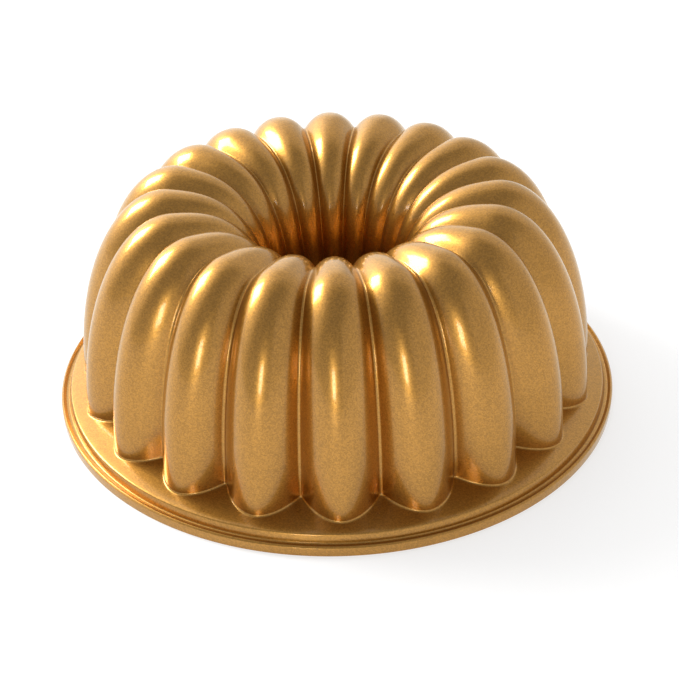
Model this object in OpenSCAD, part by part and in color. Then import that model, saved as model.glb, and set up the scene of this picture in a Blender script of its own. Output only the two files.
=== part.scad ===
// Fluted ring cake pan, standing upside down on its rim.
// The pan is one casting. Its regions are separate solids that meet face to face:
//   rim_edge     the thick ring that stands on the table, with a ridge and a groove
//   flange       the plate between the rim and the scalloped feet of the flutes
//   outer_wall   the fluted outside wall, down to the flange's underside
//   outer_crown  the fluted top of the ring, outside its highest line
//   inner_crown  the fluted top of the ring, inside its highest line
//   centre_tube  the fluted walls of the centre hole
//   tube_lip     the bead around the tube's open end
//   nonstick_lining  the thin skin on the cavity's walls
// Millimetres. +Z is up, the axis of the ring is Z, and Z = 0 is the rim's flat face.

/* [Rim] */
// outside radius of the rim
rim_radius = 131; // [129:0.5:150]
// height of the rim's outside edge
rim_edge_height = 4.2; // [1:0.1:4.5]
// radius of the ridge around the rim
ridge_radius = 130.2; // [129.5:0.1:131]
// height of the ridge
ridge_height = 5; // [4.5:0.1:7]
// radius of the middle of the groove inside the ridge
groove_radius = 128; // [127.5:0.1:128.5]
// width of the groove's floor
groove_width = 1.6; // [0.4:0.1:2]
// height of the groove's floor
groove_height = 3.8; // [2:0.1:4.4]

/* [Flange] */
// radius of the flange's outer edge, at the top of the step down to the groove
shoulder_radius = 126.2; // [122:0.1:126.4]
// height of the flange's outer edge
shoulder_height = 7.8; // [5:0.1:9]
// thickness of the flange, measured upright
flange_thickness = 3.3; // [2:0.1:5]

/* [Flutes] */
// flutes around the ring
flute_count = 20; // [12:1:28]
// radius of the creases at the flange
foot_radius = 106.5; // [95:0.1:112]
// height of the creases at the flange
foot_height = 12; // [9.5:0.1:14]
// radius of the creases at the top of the ring
top_radius = 73.2; // [60:0.1:85]
// height of the creases at the top of the ring
top_height = 95.2; // [60:0.1:110]
// radius of the creases at the tube's open end
tube_radius = 27.8; // [16:0.1:40]
// height of the tube's open end
tube_end_height = 8; // [5:0.5:15]
// fullness of the ring's section outside the top, 2 is an ellipse
outer_fullness = 2; // [1.5:0.05:3]
// fullness of the ring's section inside the top, 2 is an ellipse
tube_fullness = 2.75; // [1.5:0.05:3.5]
// height of a flute over half its width, at the flange
foot_rise = 0.9; // [0.5:0.01:1]
// height of a flute over half its width, at the tube's open end
tube_rise = 0.34; // [0.3:0.01:1]
// power of a flute's arched section at the flange, 2 is a parabola
foot_power = 1.85; // [1.5:0.05:3]
// power of a flute's arched section at the tube's open end
tube_power = 2.7; // [1.5:0.05:3]

/* [Wall] */
// thickness of the casting
wall = 3.2; // [2.5:0.1:5]
// thickness of the lining
lining = 0.4; // [0.2:0.1:1]

/* [Tube lip] */
// height of the bead around the tube's open end
lip_height = 3.5; // [2:0.5:5]
// radius of the bead's hole
lip_hole_radius = 25.4; // [12:0.1:36]
// outside radius of the bead
lip_radius = 32.4; // [20:0.1:44]

/* [Detail] */
// facets across half a flute
half_facets = 4; // [3:1:6]
// rows of facets in the outer wall
wall_rows = 5; // [3:1:6]
// rows of facets in the crown, inside its highest line
inner_crown_rows = 4; // [2:1:5]
// rows of facets from the flange to the tube's open end
last_row = 16; // [14:2:24]

/* [Hidden] */
half_pitch = 180 / flute_count;
facets = 2 * half_facets;
top_row = last_row / 2;
crown_end_row = top_row + inner_crown_rows;
loop_points = flute_count * facets;
flange_hole_radius = foot_radius - 2;
flange_slope = (foot_height - shoulder_height) / (shoulder_radius - foot_radius);
rim_corner = 0.5;
hole_clearance = 1;
casting_color = [0.70, 0.49, 0.22];
lining_color = [0.62, 0.44, 0.22];

// heights of the flange's two faces at a radius
function flange_top(r) = foot_height - flange_slope * (r - foot_radius);
function flange_under(r) = flange_top(r) - flange_thickness;

// the crease line: s runs from 0 at the flange, over the top at 90, to 180 at the tube's end
function side(s) = s < 90 ? 1 : -1;
function reach(s) = s < 90 ? foot_radius - top_radius : top_radius - tube_radius;
function base_height(s) = s < 90 ? foot_height : tube_end_height;
function fullness(s) = s < 90 ? outer_fullness : tube_fullness;
function crease_r(s) = top_radius + side(s) * reach(s) * pow(abs(cos(s)), 2 / fullness(s));
function crease_z(s) = base_height(s) + (top_height - base_height(s)) * pow(sin(s), 2 / fullness(s));

// the direction square to the crease line, away from the cavity
function slope_r(s) = side(s) * pow(abs(cos(s)), 2 - 2 / fullness(s)) / reach(s);
function slope_z(s) = pow(sin(s), 2 - 2 / fullness(s)) / (top_height - base_height(s));
function outward(s) = [slope_r(s), slope_z(s)] / norm([slope_r(s), slope_z(s)]);

// a flute's section: v runs across it from crease to crease, -1 to 1
function half_width(s) = crease_r(s) * sin(half_pitch);
function flute_rise(s) = half_width(s) * (foot_rise + (tube_rise - foot_rise) * s / 180);
function power(s) = foot_power + (tube_power - foot_power) * s / 180;
function arch(s, v) = 1 - pow(abs(v), power(s));

// the inside face runs along the section at one depth, so its flanks end lower and nearer to the middle
function flank_angle(s) = atan(power(s) * flute_rise(s) / half_width(s));
function flank_drop(s, depth) = depth * cos(flank_angle(s));
function flank_share(s, depth) = 1 - depth * sin(flank_angle(s)) / half_width(s);

// a point of the flute that faces +X, up above the crease line and out to a share of the half pitch
function flute_point(s, up, share) =
  let (x = crease_r(s) * cos(half_pitch) + up * outward(s)[0])
  [x, x * tan(half_pitch) * share, crease_z(s) + up * outward(s)[1]];
function outside_point(s, j) =
  let (v = (j - half_facets) / half_facets)
  flute_point(s, flute_rise(s) * arch(s, v), v);
function inside_point(s, depth, j) =
  let (v = (j - half_facets) / (half_facets - 1))
  let (middle_up = flute_rise(s) - depth + flank_drop(s, depth))
  j == 0
    ? flute_point(s, -depth, -1)
    : flute_point(s, middle_up * arch(s, v) - flank_drop(s, depth), v * flank_share(s, depth));
function turned(p, a) = [p[0] * cos(a) - p[1] * sin(a), p[0] * sin(a) + p[1] * cos(a), p[2]];

// one closed loop of points around the ring; depth 0 is the outside face
function ring_loop(s, depth) = [
  for (i = [0:flute_count - 1])
  for (j = [0:facets - 1])
  turned(depth == 0 ? outside_point(s, j) : inside_point(s, depth, j), (2 * i - 0.5 * flute_count) * half_pitch)
];
// the loop at the flange, let down to the flange's underside
function foot_loop(depth) = [
  for (p = ring_loop(0, depth))
  [p[0], p[1], flange_under(norm([p[0], p[1]]))]
];
function row_loop(row, depth) = row < 0 ? foot_loop(depth) : ring_loop(180 * row / last_row, depth);

// the triangles between two loops whose first points are numbered a and b
function band(a, b) = [
  for (k = [0:loop_points - 1])
  let (n = (k + 1) % loop_points)
  each [[a + k, a + n, b + n], [a + k, b + n, b + k]]
];

// a fluted shell between two depths, from one row to another
module fluted_shell(first_row, end_row, outer_depth, inner_depth) {
  rows = end_row - first_row;
  inner_start = (rows + 1) * loop_points;
  points = [
    for (depth = [outer_depth, inner_depth])
    for (row = [first_row:end_row])
    each row_loop(row, depth)
  ];
  faces = [
    for (row = [0:rows - 1])
    each band((row + 1) * loop_points, row * loop_points),
    for (row = [0:rows - 1])
    each band(inner_start + row * loop_points, inner_start + (row + 1) * loop_points),
    each band(0, inner_start),
    each band(inner_start + rows * loop_points, rows * loop_points)
  ];
  polyhedron(points = points, faces = faces, convexity = 12);
}

// the outline of the flutes' feet on the flange
module foot_outline() {
  polygon([for (p = ring_loop(0, 0)) [p[0], p[1]]]);
}

module rim_edge() {
  color(casting_color)
  rotate_extrude()
  polygon([
    [shoulder_radius, 0],
    [rim_radius - rim_corner, 0],
    [rim_radius, rim_corner],
    [rim_radius, rim_edge_height],
    [ridge_radius, ridge_height],
    [groove_radius + groove_width / 2, groove_height],
    [groove_radius - groove_width / 2, groove_height],
    [shoulder_radius, shoulder_height]
  ]);
}

module flange() {
  color(casting_color)
  difference() {
    rotate_extrude()
    polygon([
      [shoulder_radius, flange_under(shoulder_radius)],
      [shoulder_radius, shoulder_height],
      [flange_hole_radius, flange_top(flange_hole_radius)],
      [flange_hole_radius, flange_under(flange_hole_radius)]
    ]);
    translate([0, 0, -hole_clearance])
    linear_extrude(height = foot_height + 3 * hole_clearance)
    foot_outline();
  }
}

module outer_wall() {
  color(casting_color)
  fluted_shell(-1, wall_rows, 0, wall);
}

module outer_crown() {
  color(casting_color)
  fluted_shell(wall_rows, top_row, 0, wall);
}

module inner_crown() {
  color(casting_color)
  fluted_shell(top_row, crown_end_row, 0, wall);
}

module centre_tube() {
  color(casting_color)
  fluted_shell(crown_end_row, last_row, 0, wall);
}

module tube_lip() {
  bead = lip_height / 2;
  color(casting_color)
  rotate_extrude() {
    translate([lip_hole_radius, tube_end_height - bead])
    square([lip_radius - lip_hole_radius, bead]);
    translate([lip_hole_radius + bead, tube_end_height - lip_height])
    square([lip_radius - lip_hole_radius - lip_height, bead]);
    for (r = [lip_hole_radius + bead, lip_radius - bead])
    translate([r, tube_end_height - bead])
    circle(r = bead);
  }
}

module nonstick_lining() {
  color(lining_color)
  fluted_shell(-1, last_row, wall, wall + lining);
}

rim_edge();
flange();
outer_wall();
outer_crown();
inner_crown();
centre_tube();
tube_lip();
nonstick_lining();
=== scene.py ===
import math

import bmesh
import bpy
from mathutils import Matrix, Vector


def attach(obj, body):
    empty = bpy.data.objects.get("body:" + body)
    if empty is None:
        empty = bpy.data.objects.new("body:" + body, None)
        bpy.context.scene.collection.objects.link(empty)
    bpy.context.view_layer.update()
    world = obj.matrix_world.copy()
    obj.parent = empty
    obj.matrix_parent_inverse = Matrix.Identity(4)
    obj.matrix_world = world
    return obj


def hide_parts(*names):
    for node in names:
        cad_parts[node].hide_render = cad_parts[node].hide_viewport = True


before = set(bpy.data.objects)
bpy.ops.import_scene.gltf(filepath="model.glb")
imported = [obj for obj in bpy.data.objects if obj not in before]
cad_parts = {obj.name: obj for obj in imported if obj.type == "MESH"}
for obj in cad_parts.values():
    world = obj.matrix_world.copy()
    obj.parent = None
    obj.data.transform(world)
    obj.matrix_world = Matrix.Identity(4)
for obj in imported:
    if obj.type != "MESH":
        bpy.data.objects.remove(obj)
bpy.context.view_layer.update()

MM = 0.001

# ---------------------------------------------------------------- sizes of the pan, in metres
FLUTE_COUNT = 20
HALF_PITCH = math.pi / FLUTE_COUNT
FOOT_RADIUS = 106.5 * MM
FOOT_HEIGHT = 12.0 * MM
TOP_RADIUS = 73.2 * MM
TOP_HEIGHT = 95.08 * MM
TUBE_RADIUS = 27.8 * MM
TUBE_END_HEIGHT = 8.0 * MM
OUTER_FULLNESS = 2.0
TUBE_FULLNESS = 2.75
FOOT_RISE = 0.9
TUBE_RISE = 0.34
FOOT_POWER = 1.85
TUBE_POWER = 2.7
WALL = 3.2 * MM
LINING = 0.4 * MM
# the fillet in the creases, and the flanks beside it, as shares of half a flute's width
CREASE_ROUND = 0.07
FLANK_SHARE = 0.75
FLUTE_POINTS = 24

SHOULDER_RADIUS = 126.2 * MM
SHOULDER_HEIGHT = 7.8 * MM
FLANGE_THICKNESS = 3.3 * MM
FLANGE_SLOPE = (FOOT_HEIGHT - SHOULDER_HEIGHT) / (SHOULDER_RADIUS - FOOT_RADIUS)
FOOT_FILLET = 0.7 * MM

RIM_RADIUS = 131.0 * MM
RIM_EDGE_HEIGHT = 4.2 * MM
RIDGE_RADIUS = 130.2 * MM
RIDGE_HEIGHT = 5.0 * MM
GROOVE_RADIUS = 128.0 * MM
GROOVE_WIDTH = 1.6 * MM
GROOVE_HEIGHT = 3.8 * MM

LIP_HOLE_RADIUS = 25.4 * MM
LIP_RADIUS = 32.4 * MM
LIP_HEIGHT = 3.5 * MM


# ---------------------------------------------------------------- small tools for mesh work
def mesh_object(name, vertices, faces, material):
    mesh = bpy.data.meshes.new(name)
    mesh.from_pydata(vertices, [], faces)
    mesh.validate()
    piece = bpy.data.objects.new(name, mesh)
    bpy.context.scene.collection.objects.link(piece)
    mesh.materials.append(material)
    mesh.shade_smooth()
    return piece


def rounded_line(corners, steps=5):
    """Points of a bent line whose corners (r, z, radius) are rounded."""
    line = [Vector(corners[0][:2])]
    for before, corner, after in zip(corners, corners[1:], corners[2:]):
        here = Vector(corner[:2])
        back = Vector(before[:2]) - here
        ahead = Vector(after[:2]) - here
        half = back.angle(ahead) / 2
        reach = min(corner[2] / math.tan(half), 0.48 * back.length, 0.48 * ahead.length)
        radius = reach * math.tan(half)
        centre = here + (back.normalized() + ahead.normalized()).normalized() * (radius / math.sin(half))
        start = here + back.normalized() * reach - centre
        end = here + ahead.normalized() * reach - centre
        first = math.atan2(start.y, start.x)
        swing = math.remainder(math.atan2(end.y, end.x) - first, 2 * math.pi)
        for step in range(steps + 1):
            angle = first + swing * step / steps
            line.append(centre + radius * Vector((math.cos(angle), math.sin(angle))))
    line.append(Vector(corners[-1][:2]))
    return line


def ring_faces(columns, rows):
    """Quads between rows of a ring closed both ways: around the axis and around its section."""
    faces = []
    for column in range(columns):
        right = (column + 1) % columns
        for row in range(rows):
            above = (row + 1) % rows
            faces.append((
                column * rows + row,
                right * rows + row,
                right * rows + above,
                column * rows + above,
            ))
    return faces


def face_outwards(piece):
    """Turns a closed piece's faces outwards, and checks that it is closed."""
    work = bmesh.new()
    work.from_mesh(piece.data)
    bmesh.ops.remove_doubles(work, verts=work.verts, dist=1e-7)
    open_edges = [edge for edge in work.edges if not edge.is_manifold]
    if open_edges:
        print("open edges on", piece.name, len(open_edges))
    if work.calc_volume(signed=True) < 0:
        bmesh.ops.reverse_faces(work, faces=work.faces)
    work.to_mesh(piece.data)
    work.free()
    piece.data.shade_smooth()


# ---------------------------------------------------------------- the flutes, as a node tree
class Rule:
    """Writes a node tree's arithmetic as plain calls."""

    def __init__(self, tree):
        self.tree = tree

    def node(self, kind, **settings):
        node = self.tree.nodes.new(kind)
        for name, value in settings.items():
            setattr(node, name, value)
        return node

    def feed(self, socket, value):
        if isinstance(value, bpy.types.NodeSocket):
            self.tree.links.new(value, socket)
        else:
            socket.default_value = value

    def calc(self, operation, *values):
        node = self.node("ShaderNodeMath", operation=operation)
        for socket, value in zip(node.inputs, values):
            self.feed(socket, value)
        return node.outputs[0]

    def add(self, a, b):
        return self.calc("ADD", a, b)

    def less(self, a, b):
        return self.calc("SUBTRACT", a, b)

    def times(self, a, b):
        return self.calc("MULTIPLY", a, b)

    def over(self, a, b):
        return self.calc("DIVIDE", a, b)

    def power(self, a, b):
        return self.calc("POWER", a, b)

    def between(self, share, a, b):
        """a where share is 0, b where share is 1."""
        return self.add(a, self.times(share, self.less(b, a)))


FLUTE_INPUTS = (
    ("Flutes", "NodeSocketInt", FLUTE_COUNT),
    ("Points across a flute", "NodeSocketInt", FLUTE_POINTS),
    ("Rows", "NodeSocketInt", 80),
    ("First angle", "NodeSocketFloat", -4.0),
    ("Last angle", "NodeSocketFloat", 180.0),
    ("Near depth", "NodeSocketFloat", 0.0),
    ("Far depth", "NodeSocketFloat", WALL),
    ("Crease round", "NodeSocketFloat", CREASE_ROUND),
    ("Foot radius", "NodeSocketFloat", FOOT_RADIUS),
    ("Foot height", "NodeSocketFloat", FOOT_HEIGHT),
    ("Top radius", "NodeSocketFloat", TOP_RADIUS),
    ("Top height", "NodeSocketFloat", TOP_HEIGHT),
    ("Tube radius", "NodeSocketFloat", TUBE_RADIUS),
    ("Tube end height", "NodeSocketFloat", TUBE_END_HEIGHT),
    ("Outer fullness", "NodeSocketFloat", OUTER_FULLNESS),
    ("Tube fullness", "NodeSocketFloat", TUBE_FULLNESS),
    ("Foot rise", "NodeSocketFloat", FOOT_RISE),
    ("Tube rise", "NodeSocketFloat", TUBE_RISE),
    ("Foot power", "NodeSocketFloat", FOOT_POWER),
    ("Tube power", "NodeSocketFloat", TUBE_POWER),
    ("Flange thickness", "NodeSocketFloat", FLANGE_THICKNESS),
    ("Flange slope", "NodeSocketFloat", FLANGE_SLOPE),
    ("Coating", "NodeSocketMaterial", None),
)


def flute_tree():
    """One flute follows the crease line from the flange over the top into the tube, set around the axis."""
    tree = bpy.data.node_groups.new("fluted_ring_wall", "GeometryNodeTree")
    for name, kind, value in FLUTE_INPUTS:
        socket = tree.interface.new_socket(name=name, in_out="INPUT", socket_type=kind)
        if value is not None:
            socket.default_value = value
    tree.interface.new_socket(name="Geometry", in_out="OUTPUT", socket_type="NodeSocketGeometry")
    rule = Rule(tree)
    given = rule.node("NodeGroupInput").outputs

    # a sheet that runs up one face of the wall and back down the other
    rows = given["Rows"]
    laps = rule.add(rule.times(rows, 2), 2)
    grid = rule.node("GeometryNodeMeshGrid")
    rule.feed(grid.inputs["Size X"], 1.0)
    rule.feed(grid.inputs["Size Y"], 1.0)
    rule.feed(grid.inputs["Vertices X"], rule.add(laps, 1))
    rule.feed(grid.inputs["Vertices Y"], rule.add(given["Points across a flute"], 1))
    place = rule.node("ShaderNodeSeparateXYZ")
    rule.feed(place.inputs[0], rule.node("GeometryNodeInputPosition").outputs[0])
    step = rule.calc("ROUND", rule.times(rule.add(place.outputs["X"], 0.5), laps))
    step = rule.calc("MODULO", rule.add(step, 0.25), laps)
    step = rule.calc("FLOOR", step)
    far = rule.calc("GREATER_THAN", step, rule.add(rows, 0.5))
    going_back = rule.less(rule.less(laps, 1), step)
    along = rule.over(rule.between(far, step, going_back), rows)
    across = rule.times(place.outputs["Y"], 2)

    # the crease line at this row
    angle = rule.calc("RADIANS", rule.between(along, given["First angle"], given["Last angle"]))
    first = rule.calc("RADIANS", given["First angle"])
    below = rule.over(rule.calc("MINIMUM", angle, 0.0), rule.calc("MINIMUM", first, -1e-6))
    band = rule.calc("MAXIMUM", below, 0.0)
    angle = rule.calc("MAXIMUM", angle, 0.0)
    outer = rule.calc("LESS_THAN", angle, math.pi / 2)
    side = rule.less(rule.times(outer, 2), 1)
    reach = rule.between(
        outer,
        rule.less(given["Top radius"], given["Tube radius"]),
        rule.less(given["Foot radius"], given["Top radius"]),
    )
    base = rule.between(outer, given["Tube end height"], given["Foot height"])
    height = rule.less(given["Top height"], base)
    bend = rule.over(2, rule.between(outer, given["Tube fullness"], given["Outer fullness"]))
    level = rule.calc("ABSOLUTE", rule.calc("COSINE", angle))
    upright = rule.calc("MAXIMUM", rule.calc("SINE", angle), 0.0)
    crease_r = rule.add(given["Top radius"], rule.times(side, rule.times(reach, rule.power(level, bend))))
    crease_z = rule.add(base, rule.times(height, rule.power(upright, bend)))
    counter = rule.less(2, bend)
    out_r = rule.times(side, rule.over(rule.power(level, counter), reach))
    out_z = rule.over(rule.power(upright, counter), height)
    length = rule.calc("SQRT", rule.add(rule.times(out_r, out_r), rule.times(out_z, out_z)))
    out_r = rule.over(out_r, length)
    out_z = rule.over(out_z, length)

    # the flute's section at this row
    half_pitch = rule.over(math.pi, given["Flutes"])
    half_width = rule.times(crease_r, rule.calc("SINE", half_pitch))
    share = rule.over(angle, math.pi)
    rise = rule.times(half_width, rule.between(share, given["Foot rise"], given["Tube rise"]))
    power = rule.between(share, given["Foot power"], given["Tube power"])
    depth = rule.between(far, given["Near depth"], given["Far depth"])
    fillet = rule.times(rule.less(1, far), given["Crease round"])
    away = rule.calc("ABSOLUTE", across)
    flank = rule.calc("MINIMUM", rule.over(away, FLANK_SHARE), 1.0)
    tail = rule.calc("MAXIMUM", rule.over(rule.less(away, FLANK_SHARE), 1 - FLANK_SHARE), 0.0)
    out = rule.times(flank, rule.less(1, fillet))
    steep = rule.times(power, rule.power(rule.less(1, fillet), rule.less(power, 1)))
    left = rule.less(1, tail)
    settle = rule.times(rule.times(rule.times(steep, fillet), 0.5), rule.less(1, rule.times(left, left)))
    arch = rule.less(rule.less(1, rule.power(out, power)), settle)

    # the inside face runs along at its depth and goes round the crease in an arc
    lean = rule.calc("ARCTANGENT", rule.over(rule.times(power, rise), half_width))
    turn = rule.times(lean, rule.less(1, tail))
    inward = rule.over(rule.times(depth, rule.calc("SINE", turn)), half_width)
    reached = rule.add(out, rule.times(fillet, tail))
    sideways = rule.times(rule.calc("SIGN", across), rule.times(reached, rule.less(1, inward)))
    middle_up = rule.less(rise, rule.times(depth, rule.less(1, rule.calc("COSINE", lean))))
    up = rule.less(rule.times(middle_up, arch), rule.times(depth, rule.calc("COSINE", turn)))

    # the point itself, on a flute that faces +X
    x = rule.add(rule.times(crease_r, rule.calc("COSINE", half_pitch)), rule.times(up, out_r))
    y = rule.times(rule.times(x, rule.calc("TANGENT", half_pitch)), sideways)
    z = rule.add(crease_z, rule.times(up, out_z))
    radius = rule.calc("SQRT", rule.add(rule.times(x, x), rule.times(y, y)))
    fall = rule.times(given["Flange slope"], rule.less(radius, given["Foot radius"]))
    under = rule.less(rule.less(given["Foot height"], given["Flange thickness"]), fall)
    z = rule.between(band, z, under)
    point = rule.node("ShaderNodeCombineXYZ")
    rule.feed(point.inputs["X"], x)
    rule.feed(point.inputs["Y"], y)
    rule.feed(point.inputs["Z"], z)
    placed = rule.node("GeometryNodeSetPosition")
    rule.feed(placed.inputs["Geometry"], grid.outputs["Mesh"])
    rule.feed(placed.inputs["Position"], point.outputs[0])

    # the flutes around the axis, one crest to the front
    spots = rule.node("GeometryNodePoints")
    rule.feed(spots.inputs["Count"], given["Flutes"])
    turn_by = rule.less(
        rule.times(rule.node("GeometryNodeInputIndex").outputs[0], rule.times(half_pitch, 2)),
        math.pi / 2,
    )
    facing = rule.node("ShaderNodeCombineXYZ")
    rule.feed(facing.inputs["Z"], turn_by)
    rotation = rule.node("FunctionNodeEulerToRotation")
    rule.feed(rotation.inputs[0], facing.outputs[0])
    flutes = rule.node("GeometryNodeInstanceOnPoints")
    rule.feed(flutes.inputs["Points"], spots.outputs[0])
    rule.feed(flutes.inputs["Instance"], placed.outputs[0])
    rule.feed(flutes.inputs["Rotation"], rotation.outputs[0])
    real = rule.node("GeometryNodeRealizeInstances")
    rule.feed(real.inputs[0], flutes.outputs[0])
    joined = rule.node("GeometryNodeMergeByDistance")
    rule.feed(joined.inputs["Geometry"], real.outputs[0])
    rule.feed(joined.inputs["Distance"], 0.005 * MM)
    smooth = rule.node("GeometryNodeSetShadeSmooth")
    rule.feed(smooth.inputs[0], joined.outputs[0])
    coated = rule.node("GeometryNodeSetMaterial")
    rule.feed(coated.inputs["Geometry"], smooth.outputs[0])
    rule.feed(coated.inputs["Material"], given["Coating"])
    result = rule.node("NodeGroupOutput")
    rule.feed(result.inputs["Geometry"], coated.outputs[0])
    return tree


def fluted_piece(name, tree, sizes):
    """A plain mesh made by the flute tree with the given sizes."""
    maker = bpy.data.objects.new(name + "_maker", bpy.data.meshes.new(name + "_maker"))
    bpy.context.scene.collection.objects.link(maker)
    modifier = maker.modifiers.new("flutes", "NODES")
    modifier.node_group = tree
    sockets = {item.name: item.identifier for item in tree.interface.items_tree if item.in_out == "INPUT"}
    for label, kind, value in FLUTE_INPUTS:
        chosen = sizes.get(label, value)
        if chosen is not None:
            modifier[sockets[label]] = chosen
    bpy.context.view_layer.update()
    evaluated = maker.evaluated_get(bpy.context.evaluated_depsgraph_get())
    mesh = bpy.data.meshes.new_from_object(evaluated)
    mesh.name = name
    maker.modifiers.clear()
    bpy.data.objects.remove(maker)
    piece = bpy.data.objects.new(name, mesh)
    bpy.context.scene.collection.objects.link(piece)
    face_outwards(piece)
    return piece


# ---------------------------------------------------------------- the flange and the rim
def foot_outline():
    """The flutes' feet on the flange: a list of (point, outward direction)."""
    rise = FOOT_RISE * FOOT_RADIUS * math.sin(HALF_PITCH)
    steep = FOOT_POWER * (1 - CREASE_ROUND) ** (FOOT_POWER - 1)
    points = []
    for flute in range(FLUTE_COUNT):
        facing = 2 * HALF_PITCH * flute - math.pi / 2
        for number in range(FLUTE_POINTS):
            across = 2 * number / FLUTE_POINTS - 1
            flank = min(abs(across) / FLANK_SHARE, 1) * (1 - CREASE_ROUND)
            tail = max((abs(across) - FLANK_SHARE) / (1 - FLANK_SHARE), 0)
            arch = 1 - flank ** FOOT_POWER - steep * CREASE_ROUND / 2 * (1 - (1 - tail) ** 2)
            x = FOOT_RADIUS * math.cos(HALF_PITCH) + rise * arch
            y = math.copysign(x * math.tan(HALF_PITCH) * (flank + CREASE_ROUND * tail), across)
            points.append(Vector((
                x * math.cos(facing) - y * math.sin(facing),
                x * math.sin(facing) + y * math.cos(facing),
            )))
    outline = []
    for number, point in enumerate(points):
        along = points[(number + 1) % len(points)] - points[number - 1]
        outline.append((point, Vector((along.y, -along.x)).normalized()))
    return outline


def flange_top(radius):
    """Height of the flange's upper face."""
    return FOOT_HEIGHT - FLANGE_SLOPE * (radius - FOOT_RADIUS)


def flange_section(point, outward):
    """The closed section of flange and rim at one place of the foot outline, as (x, y, z) points."""
    section = []
    for step in range(7):
        lean = math.pi / 2 * step / 6
        spot = point + outward * FOOT_FILLET * (1 - math.cos(lean))
        section.append((spot.x, spot.y, flange_top(spot.length) + FOOT_FILLET * (1 - math.sin(lean))))
    foot = point + outward * FOOT_FILLET
    ray = foot.normalized()
    first = foot.length
    for step in range(1, 5):
        radius = first + (FLANGE_END - first) * step / 5
        section.append((ray.x * radius, ray.y * radius, flange_top(radius)))
    for radius, height in RIM_LINE:
        section.append((ray.x * radius, ray.y * radius, height))
    section.append((point.x, point.y, flange_top(point.length) - FLANGE_THICKNESS))
    return section


FLANGE_END = SHOULDER_RADIUS - 2.5 * MM
RIM_LINE = rounded_line([
    (FLANGE_END, flange_top(FLANGE_END), 0),
    (SHOULDER_RADIUS, SHOULDER_HEIGHT, 1.0 * MM),
    (GROOVE_RADIUS - GROOVE_WIDTH / 2, GROOVE_HEIGHT, 0.7 * MM),
    (GROOVE_RADIUS + GROOVE_WIDTH / 2, GROOVE_HEIGHT, 0.7 * MM),
    (RIDGE_RADIUS, RIDGE_HEIGHT, 0.35 * MM),
    (RIM_RADIUS, RIM_EDGE_HEIGHT, 0.4 * MM),
    (RIM_RADIUS, 0, 0.4 * MM),
    (SHOULDER_RADIUS, 0, 0.4 * MM),
    (SHOULDER_RADIUS, SHOULDER_HEIGHT - FLANGE_THICKNESS, 0.6 * MM),
    (FLANGE_END, flange_top(FLANGE_END) - FLANGE_THICKNESS, 0),
])


def flange_and_rim(material):
    sections = [flange_section(point, outward) for point, outward in foot_outline()]
    rows = len(sections[0])
    vertices = [spot for section in sections for spot in section]
    piece = mesh_object("flange_and_rim", vertices, ring_faces(len(sections), rows), material)
    face_outwards(piece)
    return piece


def tube_lip(material, columns=240):
    """The bead around the tube's open end."""
    low = TUBE_END_HEIGHT - LIP_HEIGHT
    middle = (LIP_HOLE_RADIUS + LIP_RADIUS) / 2
    line = rounded_line([
        (middle, TUBE_END_HEIGHT, 0),
        (LIP_HOLE_RADIUS, TUBE_END_HEIGHT, 0.5 * MM),
        (LIP_HOLE_RADIUS, low, 1.7 * MM),
        (LIP_RADIUS, low, 1.7 * MM),
        (LIP_RADIUS, TUBE_END_HEIGHT, 0.5 * MM),
        (middle, TUBE_END_HEIGHT, 0),
    ], steps=6)[:-1]
    vertices = []
    for column in range(columns):
        angle = 2 * math.pi * column / columns
        vertices += [(spot.x * math.cos(angle), spot.x * math.sin(angle), spot.y) for spot in line]
    piece = mesh_object("tube_lip_bead", vertices, ring_faces(columns, len(line)), material)
    face_outwards(piece)
    return piece


# ---------------------------------------------------------------- finishes
GOLD = (0.43, 0.211, 0.038)
OUTSIDE_ROUGHNESS = 0.30
OUTSIDE_COAT = 0.8
LINING_ROUGHNESS = 0.38
LINING_COAT = 0.3
GRAZING_TINT = (0.95, 0.9, 0.72, 1)
COAT_ROUGHNESS = 0.1
COAT_IOR = 1.42
FLAKE_SCALE = 1900.0
CAST_SCALE = 420.0
CLOUD_SCALE = 22.0
DARKEST_FLAKE = 0.82
FLAKE_CONTRAST = 0.36
CLOUD_CONTRAST = 0.10
GRAIN_STRENGTH = 0.20
GRAIN_HEIGHT = 0.12 * MM
GROUND_GREY = 0.45
GROUND_GLOW = 0.60
GROUND_REACH = 6.0


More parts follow.
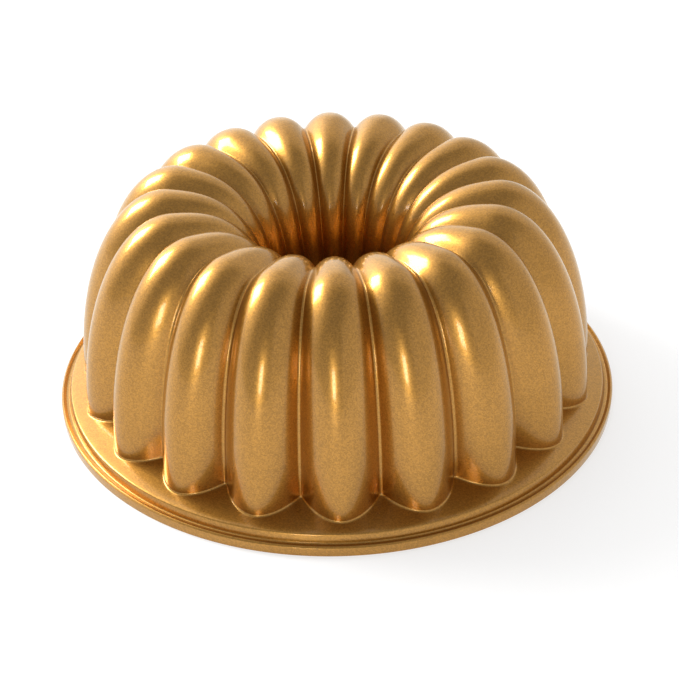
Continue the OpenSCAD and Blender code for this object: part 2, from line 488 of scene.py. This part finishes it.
def gold_metallic_coating(name, roughness, coat):
    """A gold lacquer with fine metal flakes over cast aluminium."""
    material = bpy.data.materials.new(name)
    material.use_nodes = True
    material.diffuse_color = (*GOLD, 1)
    tree = material.node_tree
    rule = Rule(tree)
    shader = tree.nodes["Principled BSDF"]
    shader.inputs["Metallic"].default_value = 1.0
    shader.inputs["Coat Weight"].default_value = coat
    shader.inputs["Specular Tint"].default_value = GRAZING_TINT
    shader.inputs["Coat Roughness"].default_value = COAT_ROUGHNESS
    shader.inputs["Coat IOR"].default_value = COAT_IOR
    spot = rule.node("ShaderNodeTexCoord").outputs["Object"]

    flakes = rule.node("ShaderNodeTexVoronoi", feature="F1")
    rule.feed(flakes.inputs["Vector"], spot)
    rule.feed(flakes.inputs["Scale"], FLAKE_SCALE)
    flake = rule.node("ShaderNodeSeparateColor")
    rule.feed(flake.inputs[0], flakes.outputs["Color"])

    cast = rule.node("ShaderNodeTexNoise")
    rule.feed(cast.inputs["Vector"], spot)
    rule.feed(cast.inputs["Scale"], CAST_SCALE)
    rule.feed(cast.inputs["Detail"], 4.0)

    cloud = rule.node("ShaderNodeTexNoise")
    rule.feed(cloud.inputs["Vector"], spot)
    rule.feed(cloud.inputs["Scale"], CLOUD_SCALE)
    rule.feed(cloud.inputs["Detail"], 3.0)

    light = rule.add(DARKEST_FLAKE, rule.times(flake.outputs[0], FLAKE_CONTRAST))
    light = rule.add(light, rule.times(rule.less(cloud.outputs[0], 0.5), CLOUD_CONTRAST))
    tint = rule.node("ShaderNodeVectorMath", operation="SCALE")
    tint.inputs[0].default_value = GOLD
    rule.feed(tint.inputs["Scale"], light)
    rule.feed(shader.inputs["Base Color"], tint.outputs[0])

    dull = rule.add(roughness - 0.05, rule.times(flake.outputs[1], 0.07))
    dull = rule.add(dull, rule.times(cast.outputs[0], 0.06))
    rule.feed(shader.inputs["Roughness"], dull)

    grain = rule.add(rule.times(flakes.outputs["Distance"], 0.25), rule.times(cast.outputs[0], 0.75))
    bump = rule.node("ShaderNodeBump")
    bump.inputs["Strength"].default_value = GRAIN_STRENGTH
    bump.inputs["Distance"].default_value = GRAIN_HEIGHT
    rule.feed(bump.inputs["Height"], grain)
    rule.feed(shader.inputs["Normal"], bump.outputs[0])
    return material


def plain_floor_finish():
    material = bpy.data.materials.new("white_ground")
    material.use_nodes = True
    shader = material.node_tree.nodes["Principled BSDF"]
    shader.inputs["Base Color"].default_value = (GROUND_GREY, GROUND_GREY, GROUND_GREY, 1)
    shader.inputs["Roughness"].default_value = 0.7
    shader.inputs["Specular IOR Level"].default_value = 0.2
    shader.inputs["Emission Color"].default_value = (1, 1, 1, 1)
    shader.inputs["Emission Strength"].default_value = GROUND_GLOW
    return material


# ---------------------------------------------------------------- room, lights and camera
# each range gives the values between which a share goes from 0 to 1
PAN_MIDDLE = Vector((0, 0, 0.05))
WORLD_LEVEL = 0.43
SIDE_WALLS = 0.48
RIGHT_SHARE = 0.75
RIGHT_RANGE = (0.18, 0.38)
RIGHT_TOP_RANGE = (0.5, 0.97)
BACK_RANGE = (0.10, 0.50)
LOW_RANGE = (0.0, 0.65)
KEY_GLOW_RANGE = (0.62, 1.0)
BACK_GLOW_RANGE = (0.80, 1.0)
LOW_WALLS = 0.20
KEY_DIRECTION = (-0.74, 0.395, 0.545)
KEY_GLOW = 1.0
BACK_DIRECTION = (-0.28, 0.92, 0.28)
BACK_GLOW = 0.70
KEY_DISTANCE = 1.8
KEY_SIZE = (0.72, 0.80)
KEY_RADIANCE = 16.0
STRIP_DIRECTION = (-0.22, -0.96, 0.19)
STRIP_DISTANCE = 1.9
STRIP_SIZE = (0.32, 0.42)
STRIP_RADIANCE = 11.0


def white_ground():
    reach = GROUND_REACH
    corners = [(-reach, -reach, 0), (reach, -reach, 0), (reach, reach, 0), (-reach, reach, 0)]
    floor = mesh_object("ground", corners, [(0, 1, 2, 3)], plain_floor_finish())


def softbox(name, direction, distance, size, radiance):
    """A flat even light that faces the pan, as bright as asked all over."""
    data = bpy.data.lights.new(name, "AREA")
    data.shape = "RECTANGLE"
    data.size = size[0]
    data.size_y = size[1]
    data.energy = radiance * math.pi * size[0] * size[1]
    light = bpy.data.objects.new(name, data)
    bpy.context.scene.collection.objects.link(light)
    towards = Vector(direction).normalized()
    light.location = PAN_MIDDLE + towards * distance
    light.rotation_euler = towards.to_track_quat("Z", "Y").to_euler()


def smooth_share(rule, value, span):
    """0 where value is below the span, 1 above it, with a soft change between."""
    node = rule.node("ShaderNodeMapRange", interpolation_type="SMOOTHSTEP")
    rule.feed(node.inputs["Value"], value)
    rule.feed(node.inputs["From Min"], span[0])
    rule.feed(node.inputs["From Max"], span[1])
    return node.outputs["Result"]


def glow(rule, direction, towards, span, strength):
    """A soft round patch of light on the studio's walls, around one direction."""
    facing = rule.node("ShaderNodeVectorMath", operation="DOT_PRODUCT")
    rule.feed(facing.inputs[0], direction)
    facing.inputs[1].default_value = Vector(towards).normalized()
    return rule.times(smooth_share(rule, facing.outputs["Value"], span), strength)


def studio():
    world = bpy.data.worlds.new("studio")
    bpy.context.scene.world = world
    world.use_nodes = True
    rule = Rule(world.node_tree)
    background = world.node_tree.nodes["Background"]
    background.inputs["Color"].default_value = (1, 1, 1, 1)
    bpy.context.scene.view_settings.view_transform = "Standard"
    direction = rule.node("ShaderNodeTexCoord").outputs["Generated"]
    heading = rule.node("ShaderNodeSeparateXYZ")
    rule.feed(heading.inputs[0], direction)
    below_top = rule.less(1, smooth_share(rule, heading.outputs["Z"], RIGHT_TOP_RANGE))
    right_wall = rule.times(smooth_share(rule, heading.outputs["X"], RIGHT_RANGE), below_top)
    back_wall = smooth_share(rule, heading.outputs["Y"], BACK_RANGE)
    walls = rule.calc("MAXIMUM", rule.times(right_wall, RIGHT_SHARE), back_wall)
    low_walls = rule.less(1, smooth_share(rule, heading.outputs["Z"], LOW_RANGE))
    light = rule.add(WORLD_LEVEL, rule.times(walls, SIDE_WALLS))
    light = rule.add(light, rule.times(rule.times(low_walls, rule.less(1, walls)), LOW_WALLS))
    light = rule.add(light, glow(rule, direction, KEY_DIRECTION, KEY_GLOW_RANGE, KEY_GLOW))
    light = rule.add(light, glow(rule, direction, BACK_DIRECTION, BACK_GLOW_RANGE, BACK_GLOW))
    rule.feed(background.inputs["Strength"], light)
    softbox("key_softbox", KEY_DIRECTION, KEY_DISTANCE, KEY_SIZE, KEY_RADIANCE)
    softbox("front_strip", STRIP_DIRECTION, STRIP_DISTANCE, STRIP_SIZE, STRIP_RADIANCE)


CAMERA_AZIMUTH = math.radians(-0.21)
CAMERA_ELEVATION = math.radians(34.55)
CAMERA_DISTANCE = 0.740
CAMERA_ROLL = math.radians(-1.55)
AIM_RIGHT = math.radians(0.14)
AIM_UP = math.radians(1.36)
CAMERA_LENS = 81.27


def front_camera():
    """The camera stands in front, above the pan, turned slightly."""
    azimuth = CAMERA_AZIMUTH
    elevation = CAMERA_ELEVATION
    place = CAMERA_DISTANCE * Vector((
        math.sin(azimuth) * math.cos(elevation),
        -math.cos(azimuth) * math.cos(elevation),
        math.sin(elevation),
    ))
    ahead = -place.normalized()
    right = ahead.cross(Vector((0, 0, 1))).normalized()
    up = right.cross(ahead)
    ahead = (ahead + right * math.tan(AIM_RIGHT) + up * math.tan(AIM_UP)).normalized()
    right = ahead.cross(up).normalized()
    up = right.cross(ahead)
    across = right * math.cos(CAMERA_ROLL) + up * math.sin(CAMERA_ROLL)
    upward = up * math.cos(CAMERA_ROLL) - right * math.sin(CAMERA_ROLL)
    data = bpy.data.cameras.new("camera")
    data.sensor_width = 36.0
    data.lens = CAMERA_LENS
    data.clip_start = 0.01
    camera = bpy.data.objects.new("camera", data)
    bpy.context.scene.collection.objects.link(camera)
    matrix = camera.matrix_world.copy()
    for row in range(3):
        matrix[row][0] = across[row]
        matrix[row][1] = upward[row]
        matrix[row][2] = -ahead[row]
        matrix[row][3] = place[row]
    camera.matrix_world = matrix
    bpy.context.scene.camera = camera


# ---------------------------------------------------------------- the pan
def pan():
    coating = gold_metallic_coating("gold_metallic_coating", OUTSIDE_ROUGHNESS, OUTSIDE_COAT)
    lining_coating = gold_metallic_coating("smooth_lining_coating", LINING_ROUGHNESS, LINING_COAT)
    tree = flute_tree()
    body = fluted_piece("fluted_body", tree, {"Coating": coating})
    lining = fluted_piece("cavity_lining", tree, {
        "Near depth": WALL,
        "Far depth": WALL + LINING,
        "Crease round": 0.0,
        "Points across a flute": 16,
        "Rows": 60,
        "Coating": lining_coating,
    })
    flange = flange_and_rim(coating)
    lip = tube_lip(coating)
    stands_for = (
        (body, "casting", ("outer_wall", "outer_crown", "inner_crown", "centre_tube")),
        (flange, "casting", ("flange", "rim_edge")),
        (lip, "casting", ("tube_lip",)),
        (lining, "lining", ("nonstick_lining",)),
    )
    for piece, slot, nodes in stands_for:
        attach(piece, "root")
        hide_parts(*nodes)


front_camera()
pan()
white_ground()
studio()
